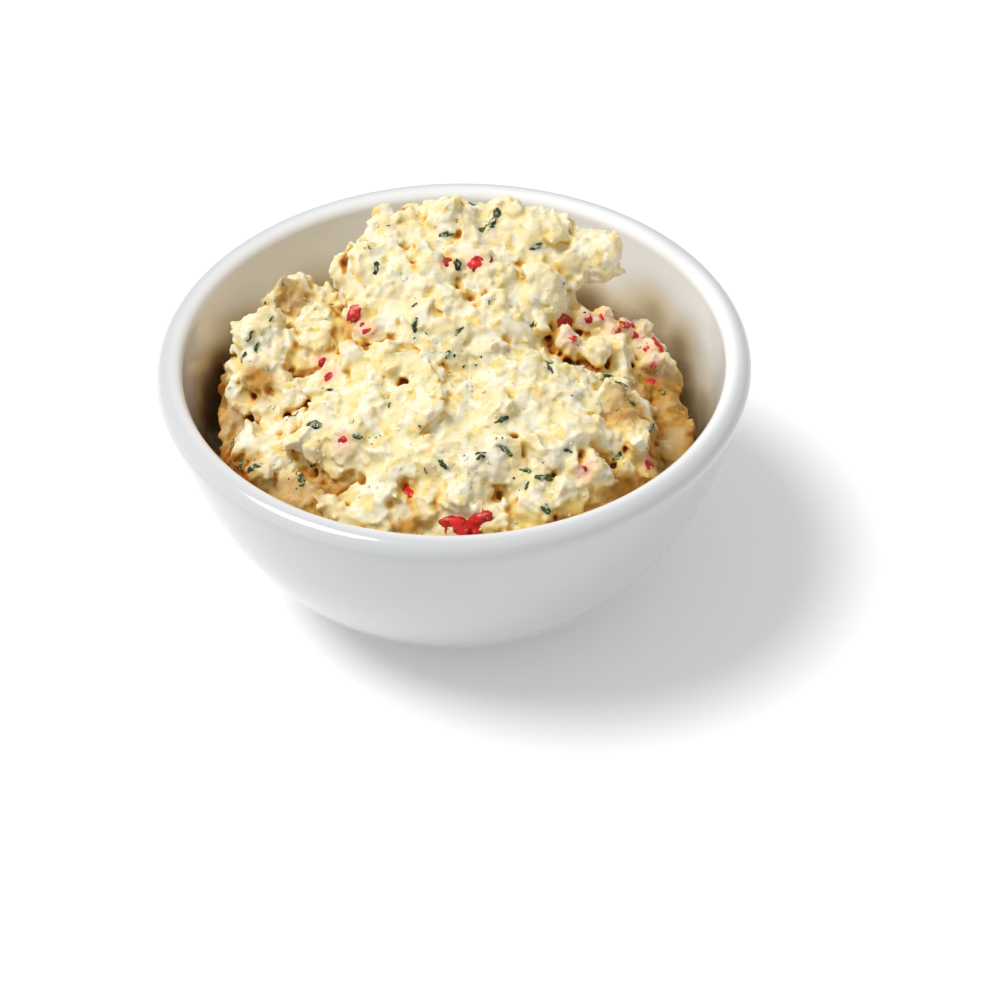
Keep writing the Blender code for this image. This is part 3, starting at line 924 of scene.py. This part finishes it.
def feta_grains(sections):
    """Fine grains of cheese, flat and half sunk, each shaded as the place it sits on."""
    shapes = [crumb_shape(1, seed, 0.25) for seed in range(50, 56)]
    draw = np.random.default_rng(12)
    places, shades = [], []
    for body in sections:
        spots, normals, triangles = spots_on(body.data, GRAINS_A_SECTION, draw, crumbly_part)
        radius = draw.triangular(0.22, 0.3, 0.6, len(spots)) * MM
        sizes = radius[:, None] * draw.uniform(0.7, 1.3, (len(spots), 3)) * (1, 1, 0.7)
        spots = spots + normals * (radius * draw.uniform(-0.7, 0.0, len(spots)))[:, None]
        free = wall_room(spots) > radius
        places.append(placed(turns_on(normals, draw, 0.8), sizes, spots)[free])
        under = triangles_of(body.data)[triangles[free], 0]
        shades.append(np.stack([kept_values(body.data, name)[under] for name in SHADES], axis=1))
    places, shades = np.concatenate(places), np.concatenate(shades)
    picks = np.arange(len(places)) % len(shapes)
    grains = scattered("feta_grains", shapes, picks, places)
    for column, name in enumerate(SHADES):
        values = [np.repeat(shades[picks == k, column], len(shape)) for k, (shape, _) in enumerate(shapes)]
        add_attribute(grains.data, name, np.concatenate(values))
    return grains


# Materials

class Socket:
    """A shader socket that adds a Math node for each sum made with it."""

    def __init__(self, finish, socket):
        self.finish = finish
        self.socket = socket

    def reckoned(self, operation, first, second=0.0):
        sockets = {"Value": first, "Value_001": second}
        return self.finish.node("ShaderNodeMath", {"operation": operation}, sockets)

    def __add__(self, other):
        return self.reckoned("ADD", self, other)

    __radd__ = __add__

    def __mul__(self, other):
        return self.reckoned("MULTIPLY", self, other)

    __rmul__ = __mul__

    def __sub__(self, other):
        return self.reckoned("SUBTRACT", self, other)

    def __rsub__(self, other):
        return self.reckoned("SUBTRACT", other, self)

    def within(self, low, high):
        """0 below low, 1 above high, and smooth between."""
        settings = {"interpolation_type": "SMOOTHSTEP"}
        sockets = {"Value": self, "From Min": low, "From Max": high}
        return self.finish.node("ShaderNodeMapRange", settings, sockets)


class Finish:
    """A material under construction around its Principled shader."""

    def __init__(self, name, **constants):
        self.material = bpy.data.materials.new(name)
        self.material.use_nodes = True
        self.tree = self.material.node_tree
        self.shader = self.tree.nodes["Principled BSDF"]
        self.feed(self.shader, constants)

    def feed(self, node, sockets):
        for key, value in sockets.items():
            socket = next(s for s in node.inputs if key in (s.identifier, s.name.replace(" ", "_")))
            if isinstance(value, Socket):
                self.tree.links.new(value.socket, socket)
            elif isinstance(value, tuple) and socket.type == "RGBA":
                socket.default_value = (*value, 1.0)[:4]
            else:
                socket.default_value = value

    def node(self, kind, settings=None, sockets=None, out=None):
        """A node of that kind: its settings go in first, then its sockets' values or links."""
        made = self.tree.nodes.new(kind)
        for key, value in (settings or {}).items():
            setattr(made, key, value)
        self.feed(made, sockets or {})
        outputs = [s for s in made.outputs if out is None and s.enabled or s.identifier == out]
        return Socket(self, outputs[0])

    def place(self):
        return self.node("ShaderNodeTexCoord", out="Object")

    def noise(self, size, detail=2.0, roughness=0.5, seed=0.0):
        """Noise of 0 to 1 with features of about that size in metres."""
        shift = (seed, seed * 0.7, -seed)
        moved = self.node("ShaderNodeMapping", None, {"Vector": self.place(), "Location": shift})
        sockets = {"Vector": moved, "Scale": 1 / size, "Detail": detail, "Roughness": roughness}
        return self.node("ShaderNodeTexNoise", None, sockets, "Fac")

    def cells(self, size, warp):
        """A random value of 0 to 1 for each uneven patch of about that size in metres."""
        place = self.place()
        sockets = {"Vector": place, "Scale": 1.5 / size, "Detail": 2.0}
        push = self.node("ShaderNodeTexNoise", None, sockets, "Color")
        sockets = {"Vector": push, "Vector_001": (warp, warp, warp), "Vector_002": place}
        moved = self.node("ShaderNodeVectorMath", {"operation": "MULTIPLY_ADD"}, sockets, "Vector")
        return self.node("ShaderNodeTexVoronoi", None, {"Vector": moved, "Scale": 1 / size}, "Color")

    def mix(self, factor, first, second, blend="MIX"):
        settings = {"data_type": "RGBA", "blend_type": blend}
        sockets = {"Factor_Float": factor, "A_Color": first, "B_Color": second}
        return self.node("ShaderNodeMix", settings, sockets, "Result_Color")

    def kept(self, name):
        """A value that the mesh carries."""
        return self.node("ShaderNodeAttribute", {"attribute_name": name}, None, "Fac")

    def bump(self, height, distance, strength):
        sockets = {"Height": height, "Distance": distance, "Strength": strength}
        return self.node("ShaderNodeBump", None, sockets)

    def done(self, **sockets):
        self.feed(self.shader, sockets)
        return self.material


def white_glaze():
    """Clear glaze over white stoneware, with a bare ring under the foot, the inside painted lighter than the
    outside, and painted shade, shadow and reflection of the cheese on the wall near the heap.
    """
    glaze = Finish("white_glaze", IOR=1.5, Specular_IOR_Level=0.5, Coat_Roughness=0.05, Coat_IOR=1.5)
    cloud = glaze.noise(22 * MM, 3.0)
    body = glaze.mix(cloud, *GLAZE_OUTSIDE_PAINTED_DARKER)
    # Painted light: the inside lighter than the outside, dimmed under the heap's painted shadow
    body = glaze.mix(glaze.kept("inner").within(0.3, 0.95), body, GLAZE_INSIDE_PAINTED_LIGHTER)
    # Painted shade and reflection of the cheese on the wall near the heap, darkest nearest
    heap_shade = glaze.kept("heap_shade")
    for (low, high), colour in zip(((0.05, 0.45), (0.32, 0.72), (0.65, 0.95)), HEAP_SHADE_COLOURS):
        body = glaze.mix(heap_shade.within(low, high), body, colour)
    height = glaze.node("ShaderNodeSeparateXYZ", None, {"Vector": glaze.place()}, "Z")
    bare = 1 - height.within(0.15 * MM, 0.45 * MM)
    body = glaze.mix(bare, body, BARE_FOOT)
    ripple = glaze.noise(9 * MM, 2.0, seed=3.0)
    return glaze.done(
        Base_Color=body,
        Roughness=0.12 + 0.03 * cloud + 0.5 * bare,
        Coat_Weight=0.3 - 0.3 * bare,
        Normal=glaze.bump(ripple, 0.12 * MM, 0.25),
    )


def feta():
    """Moist crumbly cheese: cream on top of the curds, with painted shade that goes yellow, amber and dark
    brown down in the dips and cracks, and darker brown near the wall and at listed places.
    """
    cheese = Finish(
        "feta", IOR=1.42, Specular_IOR_Level=0.25, Subsurface_Weight=0.7, Subsurface_Scale=0.8 * MM,
        Subsurface_Radius=(1.0, 0.6, 0.3), Subsurface_IOR=1.4, Coat_Roughness=0.25, Coat_IOR=1.4,
    )
    fine = cheese.kept("fine_shelter")
    broad = cheese.kept("broad_shelter")
    painted_shade = cheese.kept("painted_shade")
    blush = cheese.kept("blush")
    smudge = cheese.kept("smudge")
    drift = cheese.noise(9 * MM, 3.0)
    mottle = cheese.noise(1.6 * MM, 3.0, 0.6, seed=5.0)
    curds = cheese.cells(2.3 * MM, 2.0 * MM)
    colour = cheese.mix(curds.within(0.5, 0.75), CREAM, PALE_CREAM)
    colour = cheese.mix(1 - curds.within(0.25, 0.5), colour, YELLOW)
    colour = cheese.mix(1 - curds.within(0.10, 0.25), colour, DEEP_YELLOW)
    colour = cheese.mix(drift.within(0.5, 0.7) * 0.4, colour, PEACH)
    colour = cheese.mix(mottle.within(0.5, 0.75) * 0.35, colour, MILKY)
    colour = cheese.mix(blush.within(0.1, 0.9) * 0.7, colour, BLUSH)
    colour = cheese.mix(smudge.within(0.1, 0.8) * mottle.within(0.4, 0.55) * 0.6, colour, SMUDGE)
    # Painted shade: the more shut in the surface, the warmer and darker its colour
    depth = fine + broad * 0.9 + (mottle - 0.5) * 0.14
    colour = cheese.mix(depth.within(0.12, 0.36), colour, DIP_SHADE)
    colour = cheese.mix(depth.within(0.30, 0.56), colour, AMBER_SHADE)
    colour = cheese.mix(depth.within(0.52, 0.80), colour, CRACK_SHADE)
    # Painted shade: darker brown near the bowl's wall and at the listed places
    shade_share = painted_shade.within(0.05, 0.65) * (0.7 + 0.3 * drift.within(0.35, 0.6))
    colour = cheese.mix(shade_share, colour, SHADE_TINT, "MULTIPLY")
    grain = cheese.noise(0.35 * MM, 3.0, 0.7)
    lumps = cheese.noise(1.1 * MM, 2.0, 0.5, seed=7.0)
    height = grain * 0.6 + lumps
    return cheese.done(
        Base_Color=colour,
        Roughness=0.50 + 0.18 * mottle,
        Coat_Weight=0.10 * drift,
        Normal=cheese.bump(height, 0.3 * MM, 0.55),
    )


def pepper_skin():
    """Wet red pepper with paler flesh and a film of cheese in places."""
    pepper = Finish("pepper", IOR=1.42, Specular_IOR_Level=0.4, Coat_Roughness=0.12, Coat_IOR=1.4)
    patches = pepper.noise(1.8 * MM, 2.0)
    film = pepper.noise(1.1 * MM, 3.0, seed=4.0)
    red = pepper.mix(patches.within(0.38, 0.62), *PEPPER_REDS)
    colour = pepper.mix(film.within(0.58, 0.72) * 0.6, red, PEPPER_FILM)
    return pepper.done(
        Base_Color=colour,
        Roughness=0.25 + 0.3 * film,
        Coat_Weight=0.2,
        Normal=pepper.bump(film, 0.2 * MM, 0.4),
    )


def herb_leaf():
    """Dark chopped herb, greener in some scraps and greyed by cheese in others."""
    leaf = Finish("herb", IOR=1.45, Specular_IOR_Level=0.25)
    shade = leaf.noise(2.5 * MM, 2.0)
    film = leaf.noise(0.9 * MM, 3.0, 0.7, seed=6.0)
    green = leaf.mix(shade.within(0.35, 0.65), *HERB_GREENS)
    colour = leaf.mix(film.within(0.50, 0.62) * 0.75, green, HERB_FILM)
    return leaf.done(
        Base_Color=colour,
        Roughness=0.35 + 0.2 * film,
        Normal=leaf.bump(film, 0.1 * MM, 0.4),
    )


# Scene

def make_floor():
    deselect()
    bpy.ops.mesh.primitive_plane_add(size=4.0, location=(0, 0, -0.05 * MM))
    floor = bpy.context.object
    floor.name = "floor"
    glow = {"Emission_Color": (1.0, 1.0, 1.0), "Emission_Strength": FLOOR_GLOW}
    paper = Finish("floor", Roughness=0.9, Specular_IOR_Level=0.1, **glow)
    floor.data.materials.append(paper.done(Base_Color=(FLOOR_SHADE, FLOOR_SHADE, FLOOR_SHADE)))
    floor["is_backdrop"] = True


def make_light():
    key = bpy.data.lights.new("key", "SUN")
    key.energy = KEY_STRENGTH
    key.angle = LIGHT_WIDTH
    lamp = bpy.data.objects.new("key", key)
    lamp.rotation_euler = LIGHT_TRAVELS.to_track_quat("-Z", "Y").to_euler()
    bpy.context.scene.collection.objects.link(lamp)
    world = bpy.data.worlds.new("studio")
    world.use_nodes = True
    background = world.node_tree.nodes["Background"]
    background.inputs["Color"].default_value = (1.0, 1.0, 1.0, 1.0)
    background.inputs["Strength"].default_value = FILL_STRENGTH
    bpy.context.scene.world = world
    bpy.context.scene.view_settings.view_transform = "Standard"


def view_point():
    """Where the camera stands."""
    return VIEW_TARGET + VIEW_DISTANCE * Vector((0, -math.cos(VIEW_DOWN), math.sin(VIEW_DOWN)))


def make_camera():
    lens = bpy.data.cameras.new("camera")
    lens.lens = 90
    lens.sensor_width = 36
    camera = bpy.data.objects.new("camera", lens)
    aim = (VIEW_TARGET - view_point()).to_track_quat("-Z", "Y").to_matrix().to_4x4()
    camera.matrix_world = Matrix.Translation(view_point()) @ aim @ Matrix.Rotation(VIEW_ROLL, 4, "Z")
    bpy.context.scene.collection.objects.link(camera)
    bpy.context.scene.camera = camera


def write_sizes():
    """The CAD box and the visual model's box, as plain lists."""
    boxes = {"cad": CAD_BOX, "visual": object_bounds()}
    sizes = {name: [list(corner) for corner in box] for name, box in boxes.items()}


make_camera()
make_light()
make_floor()

core = spread_core()
clear = pepper_space(surface_of([core]))
crack_open(core.data)
clear += [(middle, 0.5 * radius) for middle, radius, depth in crack_points()]
sections = heap_sections(core, list(fused_pieces(core, clear)))
bpy.data.objects.remove(core)
seen = [body for body in sections if body.name != "feta_base"]
heap = surface_of(sections)
pepper, pepper_middles = pepper_pieces(heap)
flakes, herb_middles = herb_flakes(heap, seen)
specks = herb_specks(seen, herb_middles)

shell = turned_shell("bowl_shell", bowl_profile(), SEGMENTS)
mark_painted_wall_shade(shell, heap)
shell.data.materials.append(white_glaze())
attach(shell, "root")
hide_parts("bowl")
all_around = surface_of(sections + [shell])

cheese = feta()
for body in seen:
    points = points_of(body.data)
    mark_shelter(body, all_around)
    # Painted shade near the bowl's wall and at the listed places
    rim = 0.25 - 0.25 * wall_room(points) / WALL_SHADE_REACH
    add_attribute(body.data, "painted_shade", np.maximum(near_places(points, SHADED_PLACES), rim))
    add_attribute(body.data, "blush", near(points, pepper_middles, [BLUSH_REACH] * len(pepper_middles)))
    add_attribute(body.data, "smudge", near(points, herb_middles, [SMUDGE_REACH] * len(herb_middles)))
grains = feta_grains(seen)
for body in sections:
    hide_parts("feta_spread")
for piece, finish in [(body, cheese) for body in sections] + [
    (grains, cheese), (pepper, pepper_skin()), (flakes, herb_leaf()), (specks, herb_leaf()),
]:
    piece.data.materials.clear()
    piece.data.materials.append(finish)
    if piece is not grains:
        smooth_shaded(piece)
    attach(piece, "root")

write_sizes()
